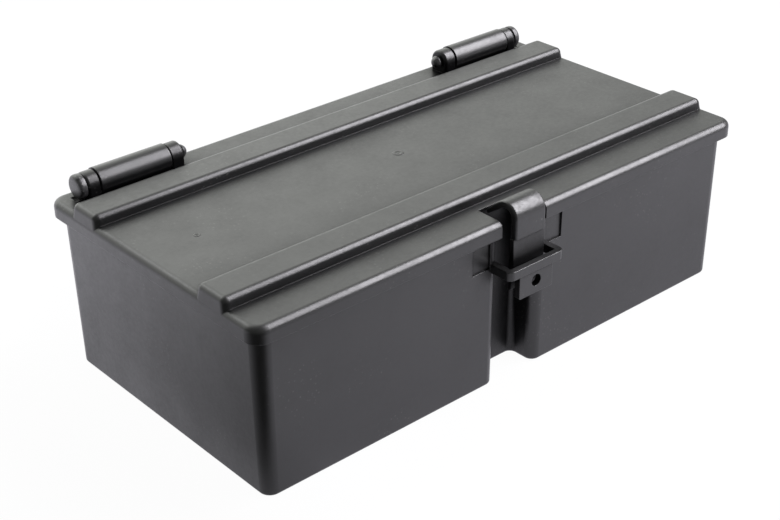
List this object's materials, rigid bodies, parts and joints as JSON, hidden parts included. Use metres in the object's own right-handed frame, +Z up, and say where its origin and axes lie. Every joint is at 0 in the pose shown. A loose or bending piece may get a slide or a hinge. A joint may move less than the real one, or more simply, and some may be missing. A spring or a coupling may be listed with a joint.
{
  "type": "tractor tool box",
  "caption": "Long black plastic tool box with a ribbed hinged lid, a drafted tub with a front channel, and a latch strap that drops through a keeper with a padlock tab.",
  "frame": {"origin": "middle of the tub's rest face, on the floor plane", "axes": "+X along the length, -Y towards the latch side, +Z up"},
  "size_m": [0.304, 0.169, 0.1004],
  "materials": {
    "body_plastic": "satin moulded",
    "pin_plastic": "smooth moulded"
  },
  "bodies": {
    "tub": {"tub": "body_plastic", "keeper": "body_plastic"},
    "lid": {"lid": "body_plastic", "lid_lip": "body_plastic", "hinge_pin_left": "pin_plastic", "hinge_pin_right": "pin_plastic"},
    "latch": {"latch_strap": "body_plastic"}
  },
  "joints": [
    {"name": "lid_hinge", "type": "hinge", "parent": "tub", "child": "lid", "pos_m": [0, 0.0698, 0.0938], "axis": [-1, 0, 0], "range_deg": [0, 110]},
    {"name": "latch_flex", "type": "hinge", "parent": "lid", "child": "latch", "pos_m": [0, -0.0656, 0.0867], "axis": [-1, 0, 0], "range_deg": [-8, 4], "stiffness_Nm_per_rad": 0.4}
  ]
}
